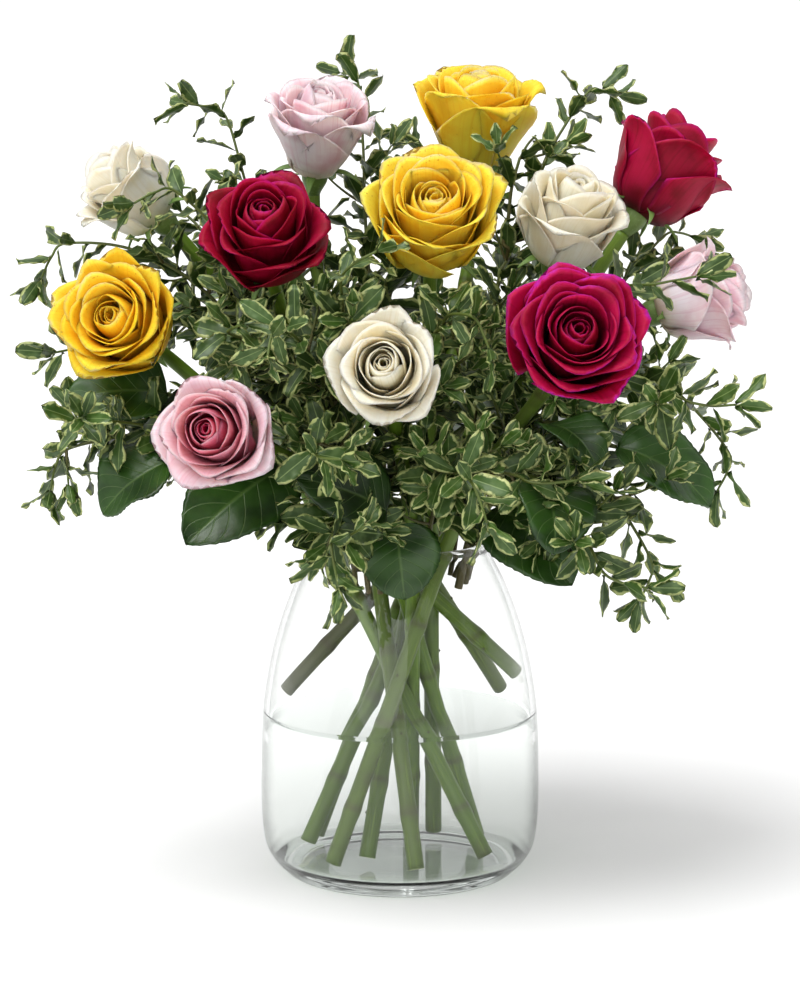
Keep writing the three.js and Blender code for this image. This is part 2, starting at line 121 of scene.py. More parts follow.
# %% [markdown]
# ### Petals
#
# A rose petal is a skin of domed cells over a thin, milky flesh. The cells give it a soft
# sheen, the flesh lets light through, and fine veins fan out from its base. Its colour is
# never even: greenish or yellow at the base, deeper in the heart where light has bounced
# from petal to petal, and a little faded or bruised along the outer rims. All of that rides
# on numbers that each petal's mesh carries, so one recipe serves four colours.


# %% Petal material
def petal_material(name, pale, deep, base, heart, shade, flecks=None):
    """Colours of the blade from its palest to its deepest, of its base and its heart, and
    of what tints the veins and the faded clouds."""
    made, tree, out = new_material(name)
    mark = {key: add(tree, "Attribute", out="Fac", attribute_name=key) for key in MARKS}
    along, place = mark["along"], add(tree, "TexCoord", out="Object")
    # Veins stand about 1 mm apart and run up the petal, so the pattern is drawn out
    # twenty times longer than it is wide.
    fan = add(tree, "CombineXYZ", {"X": mark["across"], "Y": along, "Z": mark["tone"]})
    fan = add(tree, "VectorMath", {0: fan, 1: (22, 1.1, 40)}, operation="MULTIPLY")
    veins = add(tree, "TexNoise", {"Vector": fan, "Scale": 1.0, "Detail": 2.0})
    clouds = add(tree, "TexNoise", {"Vector": place, "Scale": 70.0, "Detail": 3.0})
    blade = add(tree, "Mix", {0: mark["tone"], 6: linear(pale), 7: linear(deep)}, **MIX)
    share = add(tree, "MapRange", {0: along, 1: 0.04, 2: 0.5}, **EASED)
    colour = add(tree, "Mix", {0: share, 6: linear(base), 7: blade}, **MIX)
    # The heart colour is partly the rose's own deeper heart and partly painted shade for light
    # bounced between the inner petals.
    colour = add(tree, "Mix", {0: mark["heart"], 6: colour, 7: linear(heart)}, **MIX)
    tinted = add(tree, "Mix", {0: 1.0, 6: colour, 7: linear(shade)}, **TINT)
    for pattern, low, high, most in ((veins, 0.45, 0.8, 0.5), (clouds, 0.4, 0.75, 0.7)):
        share = add(tree, "MapRange", {0: pattern, 1: low, 2: high, 4: most}, **EASED)
        colour = add(tree, "Mix", {0: share, 6: colour, 7: tinted}, **MIX)
    if flecks:
        # Brown flecks a millimetre wide, and more of them towards the rim.
        spots = add(tree, "TexNoise", {"Vector": place, "Scale": 800.0, "Detail": 2.0})
        rimward = add(tree, "MapRange", {0: along, 1: 0.8, 4: 0.08}, **EASED)
        spots = add(tree, "Math", {0: spots, 1: rimward}, operation="ADD")
        share = add(tree, "MapRange", {0: spots, 1: 0.7, 2: 0.76, 4: 0.55}, **EASED)
        colour = add(tree, "Mix", {0: share, 6: colour, 7: linear(flecks)}, **MIX)
    bump = add(tree, "Bump", {"Height": veins, "Strength": 0.2, "Distance": 0.2 * MM})
    skin = {"Base Color": colour, "Normal": bump, "Roughness": 0.55, "IOR": 1.4}
    skin |= {"Specular IOR Level": 0.22, "Subsurface Weight": 0.55}
    skin |= {"Subsurface Radius": (1.0, 0.75, 0.6), "Subsurface Scale": 3 * MM}
    tree.links.new(add(tree, "BsdfPrincipled", skin), out)
    return made


PETALS = {
    "white": petal_material("white_petal", "#f0ebdf", "#e9e0c9", "#d3d6a6", "#e6d9ae", "#ebe3cd"),
    "pink": petal_material("pink_petal", "#f4e4e5", "#eab0c4", "#e2d8b6", "#c4004c", "#e6b9c8"),
    "yellow": petal_material(
        "yellow_petal", "#fae452", "#f2bf1a", "#c2ab30", "#eeac16", "#f3cf66", flecks="#a8661a"
    ),
    "red": petal_material("crimson_petal", "#ac0844", "#8e0224", "#5e0a1c", "#8e032e", "#a83252"),
}
print("petal colours:", list(PETALS))

# %% [markdown]
# ### Leaves
#
# Salal has thick, leathery leaves with a waxy gloss, a pale midrib and a few curved side
# veins. Variegated pittosporum has small satin leaves, grey-green in the middle with a cream
# margin that wanders in and out. Both undersides are paler, but what shows is mostly the
# upper face. The meshes carry how far along and how far across the leaf each point is, and
# the patterns are drawn in those numbers.


# %% Leaf materials
VEIN_PAIRS = 7  # side veins on each half of a salal leaf
VEIN_SWEEP = 0.32  # how much further along a side vein is at the leaf's edge


def salal_material():
    """Leathery green with a pale midrib and side veins that sweep towards the tip."""
    made, tree, out = new_material("salal_leaf")
    mark = {key: add(tree, "Attribute", out="Fac", attribute_name=key) for key in MARKS}
    side = add(tree, "Math", {0: mark["across"]}, operation="ABSOLUTE")
    sweep = add(tree, "Math", {0: side, 1: VEIN_SWEEP}, operation="MULTIPLY")
    level = add(tree, "Math", {0: mark["along"], 1: sweep}, operation="SUBTRACT")
    beat = add(tree, "Math", {0: level, 1: 2.0 * VEIN_PAIRS}, operation="MULTIPLY")
    saw = add(tree, "Math", {0: beat, 1: 1.0}, operation="PINGPONG")
    side_veins = add(tree, "MapRange", {0: saw, 2: 0.12, 3: 1.0, 4: 0.0}, **EASED)
    midrib = add(tree, "MapRange", {0: side, 2: 0.07, 3: 1.0, 4: 0.0}, **EASED)
    veins = add(tree, "Math", {0: side_veins, 1: midrib}, operation="MAXIMUM")
    place = add(tree, "TexCoord", out="Object")
    # The skin's cells are drawn 1.4 mm wide, coarser than they are, so that they show.
    cells = add(tree, "TexVoronoi", {"Vector": place, "Scale": 700.0})
    clouds = add(tree, "TexNoise", {"Vector": place, "Scale": 60.0, "Detail": 3.0})
    dark, bright = linear("#142709"), linear("#3a651c")
    green = add(tree, "Mix", {0: mark["tone"], 6: dark, 7: bright}, **MIX)
    mottled = add(tree, "Mix", {0: 1.0, 6: green, 7: linear("#9fb58a")}, **TINT)
    share = add(tree, "MapRange", {0: clouds, 1: 0.4, 2: 0.7}, **EASED)
    green = add(tree, "Mix", {0: share, 6: green, 7: mottled}, **MIX)
    share = add(tree, "MapRange", {0: veins, 4: 0.16}, **EASED)
    green = add(tree, "Mix", {0: share, 6: green, 7: linear("#8fae62")}, **MIX)
    height = add(tree, "Math", {0: cells, 1: 0.12}, operation="MULTIPLY")
    height = add(tree, "Math", {0: height, 1: veins}, operation="SUBTRACT")
    bump = add(tree, "Bump", {"Height": height, "Strength": 0.5, "Distance": 0.4 * MM})
    skin = {"Base Color": green, "Normal": bump, "Roughness": 0.38, "IOR": 1.45}
    skin |= {"Coat Weight": 0.12, "Coat Roughness": 0.25}
    tree.links.new(add(tree, "BsdfPrincipled", skin), out)
    return made


def pittosporum_material():
    """Grey-green in the middle, cream at a wandering margin."""
    made, tree, out = new_material("pittosporum_leaf")
    mark = {key: add(tree, "Attribute", out="Fac", attribute_name=key) for key in MARKS}
    side = add(tree, "Math", {0: mark["across"]}, operation="ABSOLUTE")
    place = add(tree, "TexCoord", out="Object")
    wander = add(tree, "TexNoise", {"Vector": place, "Scale": 260.0, "Detail": 2.0})
    shift = add(tree, "MapRange", {0: wander, 1: 0.25, 2: 0.75, 3: -0.22, 4: 0.22}, **EASED)
    tipward = add(tree, "MapRange", {0: mark["along"], 1: 0.7, 4: 0.3}, **EASED)
    reach = add(tree, "Math", {0: side, 1: shift}, operation="ADD")
    reach = add(tree, "Math", {0: reach, 1: tipward}, operation="ADD")
    clouds = add(tree, "TexNoise", {"Vector": place, "Scale": 150.0, "Detail": 2.0})
    dark, bright = linear("#142506"), linear("#3f601b")
    green = add(tree, "Mix", {0: mark["tone"], 6: dark, 7: bright}, **MIX)
    grey = add(tree, "Mix", {0: 0.3, 6: green, 7: linear("#6d864e")}, **MIX)
    share = add(tree, "MapRange", {0: clouds, 1: 0.45, 2: 0.65}, **EASED)
    green = add(tree, "Mix", {0: share, 6: green, 7: grey}, **MIX)
    dull, cream = linear("#73853f"), linear("#c3c988")
    margin = add(tree, "Mix", {0: mark["tone"], 6: dull, 7: cream}, **MIX)
    share = add(tree, "MapRange", {0: reach, 1: 0.7, 2: 0.88}, **EASED)
    colour = add(tree, "Mix", {0: share, 6: green, 7: margin}, **MIX)
    rib = add(tree, "MapRange", {0: side, 2: 0.1, 3: 1.0, 4: 0.0}, **EASED)
    share = add(tree, "MapRange", {0: rib, 4: 0.45}, **EASED)
    colour = add(tree, "Mix", {0: share, 6: colour, 7: linear("#98ae6c")}, **MIX)
    bump = add(tree, "Bump", {"Height": rib, "Strength": 0.4, "Distance": -0.3 * MM})
    skin = {"Base Color": colour, "Normal": bump, "Roughness": 0.42, "IOR": 1.45}
    tree.links.new(add(tree, "BsdfPrincipled", skin), out)
    return made


SALAL = salal_material()
PITTOSPORUM = pittosporum_material()
print("leaf materials:", SALAL.name, PITTOSPORUM.name)

# %% [markdown]
# ### Stems
#
# A cut rose stem is smooth green bark with long pale streaks, darker and reddish round the
# scars where leaves and prickles were. Its cut end is pale pith with a green ring. Twigs are
# thinner and browner. The mesh tells the shader how far round and along the stem it is.


# %% Stem materials
def stem_material(name, young, old, scar, streak):
    """Green bark with streaks that run along it and darker scars."""
    made, tree, out = new_material(name)
    mark = {key: add(tree, "Attribute", out="Fac", attribute_name=key) for key in MARKS}
    # One streak to every 0.8 mm round the stem, and some 30 mm long.
    bark = add(tree, "CombineXYZ", {"X": mark["across"], "Y": mark["along"]})
    bark = add(tree, "VectorMath", {0: bark, 1: (32, 12, 1)}, operation="MULTIPLY")
    streaks = add(tree, "TexNoise", {"Vector": bark, "Scale": 1.0, "Detail": 4.0})
    place = add(tree, "TexCoord", out="Object")
    clouds = add(tree, "TexNoise", {"Vector": place, "Scale": 35.0, "Detail": 3.0})
    colour = add(tree, "Mix", {0: mark["along"], 6: linear(old), 7: linear(young)}, **MIX)
    share = add(tree, "MapRange", {0: streaks, 1: 0.5, 2: 0.7, 4: 0.5}, **EASED)
    colour = add(tree, "Mix", {0: share, 6: colour, 7: linear(streak)}, **MIX)
    browned = add(tree, "Mix", {0: 0.5, 6: colour, 7: linear(scar)}, **MIX)
    share = add(tree, "MapRange", {0: clouds, 1: 0.55, 2: 0.75}, **EASED)
    colour = add(tree, "Mix", {0: share, 6: colour, 7: browned}, **MIX)
    colour = add(tree, "Mix", {0: mark["tone"], 6: colour, 7: linear(scar)}, **MIX)
    woody = add(tree, "Mix", {0: 0.75, 6: colour, 7: linear("#4a4030")}, **MIX)
    colour = add(tree, "Mix", {0: mark["heart"], 6: colour, 7: woody}, **MIX)
    bump = add(tree, "Bump", {"Height": streaks, "Strength": 0.3, "Distance": 0.3 * MM})
    skin = {"Base Color": colour, "Normal": bump, "Roughness": 0.45, "IOR": 1.45}
    tree.links.new(add(tree, "BsdfPrincipled", skin), out)
    return made


ROSE_BARK = stem_material("rose_bark", "#6a8c24", "#4c661b", "#3c301c", "#88a438")
SEPAL = stem_material("sepal_skin", "#6f8f45", "#5d7c3c", "#6b5a34", "#8fab66")
TWIG_BARK = stem_material("twig_bark", "#566a28", "#54492b", "#3a2d1c", "#737a40")
print("bark materials:", ROSE_BARK.name, TWIG_BARK.name)

# %% [markdown]
# ### Glass and water
#
# The jar is soda-lime glass, blown into a mould: clear, with an index of about 1.5 and just
# a breath of green where it is thick. Water bends light less, at 1.33. A full jar then acts
# as a strong lens and doubles the stems in it. Both indexes are set lower here, so that the
# stems stay nearly straight and easy to read. A path tracer with no caustics would leave a
# black shadow behind glass, so rays on their way to a lamp are let straight through.


# %% Glass and water materials
def clear_material(name, tint, edge, ior):
    """A clear body, darker where it is seen edge on, partly from light going a long way through
    it and partly as painted shade in place of what it would mirror there. It lets lamp light
    and scattered light through to what stands behind."""
    made, tree, out = new_material(name)
    # Seen edge on, the colour turns to the edge colour: painted shade that outlines the body,
    # deeper than its own tint.
    facing = add(tree, "LayerWeight", {"Blend": 0.5}, out="Facing")
    share = add(tree, "MapRange", {0: facing, 1: 0.55}, **EASED)
    colour = add(tree, "Mix", {0: share, 6: linear(tint), 7: linear(edge)}, **MIX)
    body = {"Base Color": colour, "Roughness": 0.0, "IOR": ior, "Transmission Weight": 1.0}
    surface = add(tree, "BsdfPrincipled", body)
    passed = add(tree, "BsdfTransparent", {"Color": linear(tint)})
    rays = add(tree, "LightPath").node.outputs
    for kind in ("Is Diffuse Ray", "Is Shadow Ray"):
        surface = add(tree, "MixShader", {0: rays[kind], 1: surface, 2: passed})
    tree.links.new(surface, out)
    return made


# The glass's dark grey edge colour is painted shade, far deeper than soda-lime's own faint green.
GLASS = clear_material("soda_lime_glass", "#fdfefd", "#4c5650", 1.38)
WATER = clear_material("vase_water", "#fcfefd", "#eef4f1", 1.03)
print("clear materials:", GLASS.name, WATER.name)

# %% [markdown]
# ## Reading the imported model
#
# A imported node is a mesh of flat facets. Its own corners say where things are, so a few
# helpers pull out what is needed: the corners with their neighbours, the shortest ways over
# the facets from a root, and the places where those ways end, which are the leaf tips.


# %% Corners, neighbours and ways
def corners(node):
    """A node's corners in metres, and for each the numbers of those an edge away."""
    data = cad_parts[node].data
    places = np.array([vertex.co for vertex in data.vertices])
    first = {}
    for number, key in enumerate(map(tuple, np.round(places / (0.05 * MM)).astype(int))):
        first.setdefault(key, []).append(number)
    number_of = np.zeros(len(places), int)
    for number, copies in enumerate(first.values()):
        number_of[copies] = number
    near = [set() for _ in first]
    for edge in data.edges:
        a, b = number_of[list(edge.vertices)]
        if a != b:
            near[a].add(int(b))
            near[b].add(int(a))
    return np.array([places[copies[0]] for copies in first.values()]), near


def ways(points, near, starts):
    """How far each corner is from the nearest start over the edges, and the step before it."""
    far = np.full(len(points), np.inf)
    before = {}
    waiting = [(0.0, int(start)) for start in starts]
    for _, start in waiting:
        far[start] = 0.0
    while waiting:
        reached, here = heapq.heappop(waiting)
        if reached > far[here]:
            continue
        for there in near[here]:
            length = reached + float(np.linalg.norm(points[there] - points[here]))
            if length < far[there] - 1e-9:
                far[there] = length
                before[there] = here
                heapq.heappush(waiting, (length, there))
    return far, before


def traced(before, end):
    """The corners passed from a start to this end."""
    line = [int(end)]
    while line[-1] in before:
        line.append(before[line[-1]])
    return line[::-1]


vase_points, _ = corners("vase")
VASE_TOP = vase_points[:, 2].max()
MOUTH_RADIUS = np.hypot(*vase_points[vase_points[:, 2] > VASE_TOP - 2 * MM][:, :2].T).min()
print(f"the jar is {VASE_TOP / MM:.0f} mm tall and its mouth {2 * MOUTH_RADIUS / MM:.0f} mm wide")

# %% [markdown]
# ## Building meshes
#
# Hundreds of petals and leaves are too many to keep apart, so each flower and each branch is
# one mesh that many small parts are heaped into. A sheet of points becomes a thin closed
# body, as a real petal is, by giving it two faces that meet at the rim.


# %% A heap of parts, and lines
def unit(vector):
    """The same direction with length 1."""
    return vector / np.linalg.norm(vector)


def smooth_line(points, spacing):
    """A smooth curve through these points, as points about this far apart."""
    points = np.asarray(points)
    ends = np.vstack([2 * points[0] - points[1], points, 2 * points[-1] - points[-2]])
    line = []
    for a, b, c, d in zip(ends, ends[1:], ends[2:], ends[3:]):
        for t in np.linspace(0, 1, 12, endpoint=False):
            bend = (2 * a - 5 * b + 4 * c - d) * t**2 + (3 * b - a - 3 * c + d) * t**3
            line.append(b + 0.5 * ((c - a) * t + bend))
    line = np.array([*line, points[-1]])
    gone = np.concatenate([[0], np.cumsum(np.linalg.norm(np.diff(line, axis=0), axis=1))])
    steps = np.linspace(0, gone[-1], max(3, int(gone[-1] / spacing) + 1))
    return np.column_stack([np.interp(steps, gone, line[:, axis]) for axis in range(3)])


def headings(line):
    """The direction of travel at each point of a line."""
    steps = np.gradient(line, axis=0)
    return steps / np.linalg.norm(steps, axis=1)[:, None]


def sideways(heading, hint=UP):
    """A direction square to the heading, level where it can be."""
    across = np.cross(heading, hint)
    if np.linalg.norm(across) < 0.05:
        across = np.cross(heading, [1.0, 0.0, 0.0])
    return unit(across)


def outward(heading, turn):
    """A direction square to the heading, this far round it."""
    level = sideways(heading)
    return math.cos(turn) * level + math.sin(turn) * np.cross(heading, level)


class Heap:
    """Many small parts, with their numbers, that become one mesh."""

    def __init__(self):
        self.points, self.faces, self.slots = [], [], []
        self.marks = {name: [] for name in MARKS}
        self.size = 0

    def put(self, points, faces, slot=0, **marks):
        self.points.append(points)
        self.faces += [[self.size + corner for corner in face] for face in faces]
        self.slots += list(np.broadcast_to(slot, len(faces)))
        for name in MARKS:
            value = np.broadcast_to(np.asarray(marks.get(name, 0.0), float), len(points))
            self.marks[name].append(value)
        self.size += len(points)

    def become(self, name, materials, node):
        data = bpy.data.meshes.new(name)
        data.from_pydata(np.vstack(self.points), [], self.faces)
        for material in materials:
            data.materials.append(material)
        data.polygons.foreach_set("material_index", self.slots)
        data.polygons.foreach_set("use_smooth", [True] * len(self.faces))
        for mark_name, values in self.marks.items():
            data.attributes.new(mark_name, "FLOAT", "POINT").data.foreach_set(
                "value", np.concatenate(values)
            )
        data.update()
        piece = bpy.data.objects.new(name, data)
        bpy.context.scene.collection.objects.link(piece)
        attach(piece, "root")
        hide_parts(node)
        return piece


def leaf_grid(rows, columns):
    """How far along and how far across each point of a sheet's net is."""
    v = np.linspace(0, 1, rows)[:, None] + np.zeros((1, columns))
    u = np.linspace(-1, 1, columns)[None, :] + np.zeros((rows, 1))
    return v, u


def thin_body(heap, grid, thickness, along, across, slot=0, **marks):
    """Puts a sheet of points (rows, columns, xyz) on the heap as a thin closed body."""
    rows, columns = grid.shape[:2]
    normal = np.cross(np.gradient(grid, axis=1), np.gradient(grid, axis=0))
    normal /= np.maximum(np.linalg.norm(normal, axis=2), 1e-12)[..., None]
    inner = np.zeros((rows, columns), bool)
    inner[1:-1, 1:-1] = True
    front = grid + normal * inner[..., None] * thickness / 2
    back = (grid - normal * thickness / 2)[inner]
    top = np.arange(rows * columns).reshape(rows, columns)
    under = top.copy()
    under[inner] = rows * columns + np.arange(inner.sum())

    def quads(net):
        ring = [net[:-1, :-1], net[:-1, 1:], net[1:, 1:], net[1:, :-1]]
        return np.stack([corner.ravel() for corner in ring], axis=1)

    faces = np.vstack([quads(top), quads(under)[:, ::-1]])

    def both(values):
        values = np.broadcast_to(np.asarray(values, float), (rows, columns))
        return np.concatenate([values.ravel(), values[inner]])

    heap.put(
        np.vstack([front.reshape(-1, 3), back]),
        faces.tolist(),
        slot,
        along=both(along),
        across=both(across),
        **{name: both(value) for name, value in marks.items()},
    )


def tube(heap, line, radii, sides=10, slot=0, foot_slot=None, tone=0.0, heart=0.0):
    """Puts a round closed tube along a line on the heap. Its foot may have another slot."""
    radii = np.broadcast_to(radii, len(line))
    toward = headings(line)
    side = sideways(toward[0])
    turns = np.linspace(0, 2 * math.pi, sides, endpoint=False)
    rings = []
    for point, heading, radius in zip(line, toward, radii):
        side = unit(side - heading * (side @ heading))
        other = np.cross(heading, side)
        ring = np.cos(turns)[:, None] * side + np.sin(turns)[:, None] * other
        rings.append(point + radius * ring)
    count = len(line)
    body = np.vstack([*rings, line[:1], line[-1:]])
    net = np.arange(count * sides).reshape(count, sides)
    ahead = np.roll(net, -1, axis=1)
    around = np.stack([net[:-1], ahead[:-1], ahead[1:], net[1:]], axis=2).reshape(-1, 4)
    faces = around.tolist()
    faces += [[net[-1, i], ahead[-1, i], count * sides + 1] for i in range(sides)]
    foot = [[ahead[0, i], net[0, i], count * sides] for i in range(sides)]
    share = np.repeat(np.linspace(0, 1, count), sides)
    tones = np.repeat(np.broadcast_to(tone, count), sides)
    heap.put(
        body,
        faces + foot,
        [slot] * len(faces) + [slot if foot_slot is None else foot_slot] * sides,
        along=np.concatenate([share, [0, 1]]),
        across=np.concatenate([np.tile(turns / (2 * math.pi), count), [0, 0]]),
        tone=np.concatenate([tones, tones[[0, -1]]]),
        heart=heart,
    )


print("helpers ready")

# %% [markdown]
# ## The jar
#
# The jar was blown into a mould and its lip fire-polished round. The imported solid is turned
# from a profile of a few points, so its own corners give that profile, and a smooth curve
# through them is turned again in a hundred and twenty steps. A lathe is the right tool for
# anything blown or thrown.


# %% Turn the jar and the water
def turned(heap, profile, segments, slot=0):
    """Turns a profile of (radius, height), which starts and ends on the axis."""
    profile = np.asarray(profile)
    middle = profile[1:-1]
    turns = np.linspace(0, 2 * math.pi, segments, endpoint=False)
    rings = np.array([[(r * math.cos(a), r * math.sin(a), z) for a in turns] for r, z in middle])
    net = np.arange(len(middle) * segments).reshape(len(middle), segments)
    ahead = np.roll(net, -1, axis=1)
    faces = np.stack([net[:-1], ahead[:-1], ahead[1:], net[1:]], axis=2).reshape(-1, 4).tolist()
    low, high = net.size, net.size + 1
    faces += [[ahead[0, i], net[0, i], low] for i in range(segments)]
    faces += [[net[-1, i], ahead[-1, i], high] for i in range(segments)]
    ends = [(0, 0, profile[0][1]), (0, 0, profile[-1][1])]
    heap.put(np.vstack([rings.reshape(-1, 3), ends]), faces, slot)


def profile_of(node):
    """The different (radius, height) pairs of a turned node's corners."""
    points, _ = corners(node)
    pairs = np.column_stack([np.hypot(points[:, 0], points[:, 1]), points[:, 2]])
    return np.unique(np.round(pairs / (0.1 * MM)), axis=0) * 0.1 * MM


def through(points, count):
    """A smooth curve through (radius, height) pairs that are already in order."""
    flat = np.column_stack([points, np.zeros(len(points))])
    gaps = np.linalg.norm(np.diff(flat, axis=0), axis=1).sum()
    return smooth_line(flat, gaps / count)[:, :2]


SEGMENTS = 128  # round the jar and the water

pairs = profile_of("vase")
FLOOR = pairs[(pairs[:, 0] < 1 * MM) & (pairs[:, 1] > 1 * MM)][0][1]
radii_at = {}
for radius, level in pairs[pairs[:, 0] > 1 * MM]:
    radii_at.setdefault(round(level / MM, 1), []).append(radius)
levels = sorted(radii_at)
outside = [(max(radii_at[level]), level * MM) for level in levels]
inside = [(min(radii_at[level]), level * MM) for level in levels if len(radii_at[level]) > 1]

# The bottom has a shallow push-up, and stands on the ring round it. The lip is a bead.
# The lip and the floor's corner are given in millimetres.
push_up = np.array([(0, 1.6), (30, 1.5), (46, 1.0), (52, 0.1)]) * MM
bead = [(44.5, 166.5), (44.7, 168.6), (43.9, 170.2), (42.4, 170.6), (41.2, 170.0), (40.9, 168.4)]
floor_corner = np.array([(64.6, 10.6), (61.5, 8.7), (56, 8.1)]) * MM
jar_line = [*push_up, *outside[:-2], *np.array(bead) * MM, *inside[1:-2][::-1]]
jar_profile = through([*jar_line, *floor_corner, (0, FLOOR)], 230)
jar_profile[:, 1] = jar_profile[:, 1].clip(0)
jar = Heap()
turned(jar, jar_profile, SEGMENTS)
jar.become("glass_jar", [GLASS], "vase")
print(f"the jar's floor is {FLOOR / MM:.1f} mm thick; {jar.size} corners")

# %% [markdown]
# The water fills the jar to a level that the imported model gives. It is let a tenth of a
# millimetre into the glass, so that no film of air is left between the two, and where it
# meets the glass it creeps up in a meniscus 2 mm high.

# %% Fill the jar
WATER_LEVEL = profile_of("water")[:, 1].max()
INTO_GLASS = 0.1 * MM
wet_wall = [(r + INTO_GLASS, z) for r, z in inside[1:] if z < WATER_LEVEL - 5 * MM]
rim = float(np.interp(WATER_LEVEL, *np.array(inside)[:, ::-1].T)) + INTO_GLASS
bottom = np.array([(56, 8.0), (61.6, 8.6), (64.7, 10.5)]) * MM
meniscus = np.array([(0, 0), (-0.05, 2.0), (-0.7, 0.9), (-2, 0.2), (-6, 0)]) * MM
water_line = [(0, FLOOR - INTO_GLASS), *bottom, *wet_wall, *(meniscus + [rim, WATER_LEVEL])]
water = Heap()
turned(water, through([*water_line, (0, WATER_LEVEL)], 150), SEGMENTS)
water.become("jar_water", [WATER], "water")
print(f"water stands at {WATER_LEVEL / MM:.0f} mm")

# %% [markdown]
# ## Where the roses stand
#
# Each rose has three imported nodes: its stem, its calyx and its bloom. The stem is a tube of
# six-cornered rings, so its middle line is found by going up ring by ring from the foot. The
# calyx and the bloom are both the same all round, so the line through the middles of their
# corners is the axis that the flower faces along.


# %% Find stems and heads
def rings_from(points, near, start):
    """The corners one, two, three ... edges away from the starting ones."""
    rings, seen = [sorted(start)], set(start)
    while rings[-1]:
        ahead = {there for here in rings[-1] for there in near[here]} - seen
        seen |= ahead
        rings.append(sorted(ahead))
    return rings[:-1]


STEM_STEP = 2.5 * MM


def stem_line(node):
    """The middle line of a stem from its cut end to its top."""
    points, near = corners(node)
    lowest = points[points[:, 2].argmin()]
    foot = np.argsort(np.linalg.norm(points - lowest, axis=1))[:6]
    middles = [points[ring].mean(axis=0) for ring in rings_from(points, near, map(int, foot))]
    return smooth_line(middles, STEM_STEP)


def head_of(rose):
    """Where a bloom starts, the way it faces, and how wide and tall it is."""
    bloom, _ = corners(f"{rose}_bloom")
    calyx, _ = corners(f"{rose}_calyx")
    up = unit(bloom.mean(axis=0) - calyx.mean(axis=0))
    heights = (bloom - bloom.mean(axis=0)) @ up
    base = bloom.mean(axis=0) + up * heights.min()
    aside = (bloom - base) - np.outer((bloom - base) @ up, up)
    side = sideways(up)
    return {
        "base": base,
        "axes": np.array([side, np.cross(up, side), up]),
        "radius": np.linalg.norm(aside, axis=1).max(),
        "height": np.ptp(heights),
    }


ROSES = [f"{colour}_rose_{number}" for colour in PETALS for number in (1, 2, 3)]
LINES = {rose: stem_line(f"{rose}_stem") for rose in ROSES}
HEADS = {rose: head_of(rose) for rose in ROSES}
for rose in ROSES:
    head = HEADS[rose]
    size = f"{2 * head['radius'] / MM:.0f} mm wide, {head['height'] / MM:.0f} mm tall"
    print(rose, size, "facing", np.round(head["axes"][2], 2))

# %% [markdown]
# ## Petals
#
# A garden or florist's rose is a spiral. Each petal stands 137.5 degrees further round than
# the one inside it, and clasps the axis more loosely. The inner ones are furled upright
# into a bud. Further out they lean away, and their rims roll back. The side edges of the
# outermost roll too, which leaves the point in the middle that gives a rose its star shape.
#
# So one petal is a sheet with a rib up its middle. The rib's tilt is added up from base to
# rim, which gives its bend. The sheet is wrapped round the axis at the rib's distance, and
# then its edges are rolled and ruffled a little by chance.


# %% Shape a petal
def eased(value, low, high):
    """0 below low, 1 above high, and smooth in between."""
    share = np.clip((value - low) / (high - low), 0, 1)
    return share * share * (3 - 2 * share)


def petal_sheet(t, top, curl, lean, head, chance, rows=17, columns=15):
    """A petal's points and its place along each. Its rim stands a share t of the bloom's
    radius out and a share top of its height up, curled and leaning out by so many degrees."""
    radius, height = head["radius"], head["height"]
    v = np.linspace(0, 1, rows)[:, None]
    u = np.linspace(-1, 1, columns)[None, :]
    # The side edges end lower than the middle, and in the outer petals leave a point.
    place = v * (1 - (0.16 + 0.26 * t) * np.abs(u) ** (2.4 - 1.1 * t))
    # The rib leaves the hip nearly level, stands up, and curls past two thirds of its way.
    steps = np.linspace(0, 1, 120)
    lean = math.radians(lean + chance.normal(0, 3))
    curl = math.radians(curl * chance.uniform(0.65, 1.3))
    tilt = math.radians(84) * np.exp(-((steps / (0.1 + 0.2 * t)) ** 2))
    tilt += lean * eased(steps, 0, 0.5) + curl * np.clip((steps - 0.64) / 0.36, 0, 1) ** 1.7
    out, rise = np.cumsum(np.sin(tilt)), np.cumsum(np.cos(tilt))
    start = (1.5 + 3.5 * t) * MM
    reach = radius * 0.97 * t * chance.uniform(0.95, 1.03)
    rib_out = start + (reach - start) * out / out.max()
    rib_rise = height * top * chance.uniform(0.95, 1.04) * rise / rise.max()
    r = np.interp(place, steps, rib_out)
    z = np.interp(place, steps, rib_rise)
    # The sheet is wrapped round the axis at that distance. An outer one clasps less.
    half = radius * (0.4 + 0.5 * t) * chance.uniform(0.9, 1.1)
    breadth = half * (0.3 + 0.7 * np.sin(np.minimum(place / 0.72, 1) * math.pi / 2) ** 1.2)
    bend = np.maximum(r * (1.0 + 0.12 * t), 2.2 * MM)
    turn = 2.6 * np.tanh(u * breadth / bend / 2.6)
    swirl = u * (0.6 + 2.2 * t) * MM
    # The side edges roll back and down, as far as the rim is curled.
    rolled = np.clip((np.abs(u) - 0.3) / 0.7, 0, 1) ** 2 * eased(place, 0.35, 1)
    rolled = rolled * radius * 0.34 * t * np.clip(math.degrees(curl) / 80, 0, 1)
    far = bend * np.cos(turn) + r - bend + swirl * eased(place, 0, 0.4)
    far = far + rolled * np.cos(turn)
    aside = (bend + 0.5 * rolled) * np.sin(turn)
    z = z - rolled * 0.8
    # Slow waves along the rim, and fine creases up the blade.
    waves = chance.uniform(0, 2 * math.pi, 3)
    ruffle = (0.4 + 1.2 * t) * MM * place**3
    z = z + ruffle * np.sin(3.3 * u + waves[0])
    far = far + ruffle * 0.8 * np.sin(4.6 * u + waves[1])
    crease = 0.3 * MM * np.sin(9 * u + waves[2]) * place**2
    return np.stack([far + crease, aside, z], axis=2), place, u


